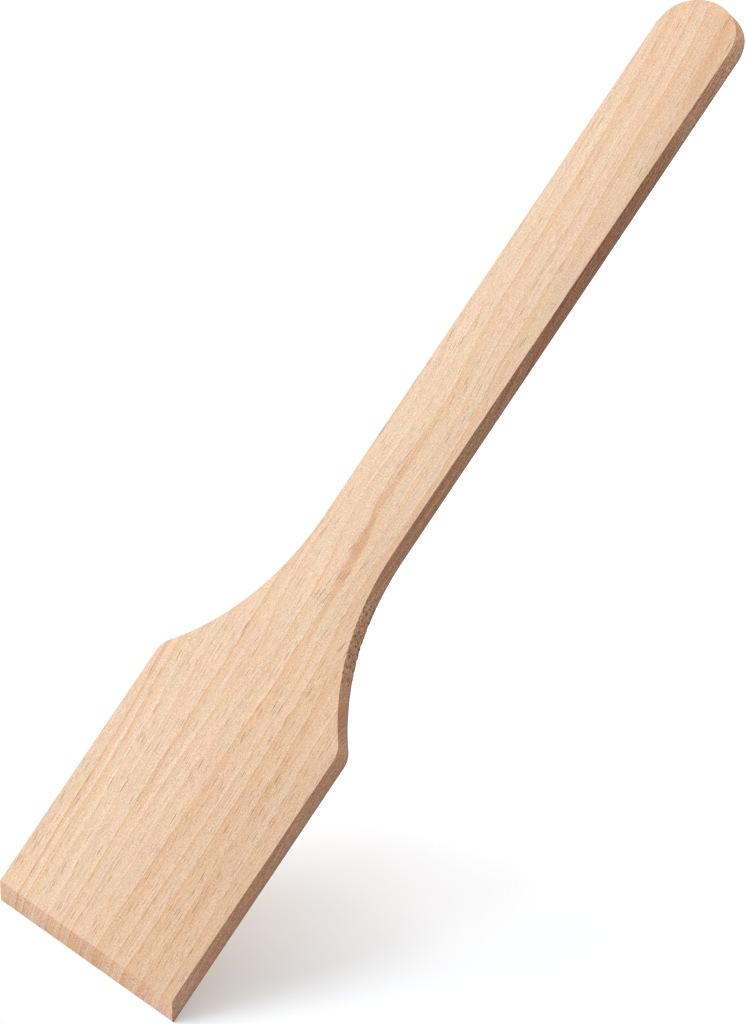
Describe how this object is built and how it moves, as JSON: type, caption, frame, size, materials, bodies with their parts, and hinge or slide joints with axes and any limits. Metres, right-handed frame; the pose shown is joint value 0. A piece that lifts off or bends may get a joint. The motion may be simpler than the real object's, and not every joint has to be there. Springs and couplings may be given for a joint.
{
  "type": "wooden spatula",
  "caption": "Flat wooden spatula: a wide blade with a bevelled end, curved shoulders and a straight handle with a rounded end.",
  "frame": {"origin": "on the resting surface, under the middle of the board's whole length and width", "axes": "+Z out of the blade's upper face, +Y along the board towards the end of the handle, +X to the right"},
  "size_m": [0.078, 0.31, 0.005],
  "materials": {
    "beech": "bare sanded beech, matt with a faint sheen"
  },
  "bodies": {
    "root": {"spatula_board": "beech"}
  },
  "joints": []
}
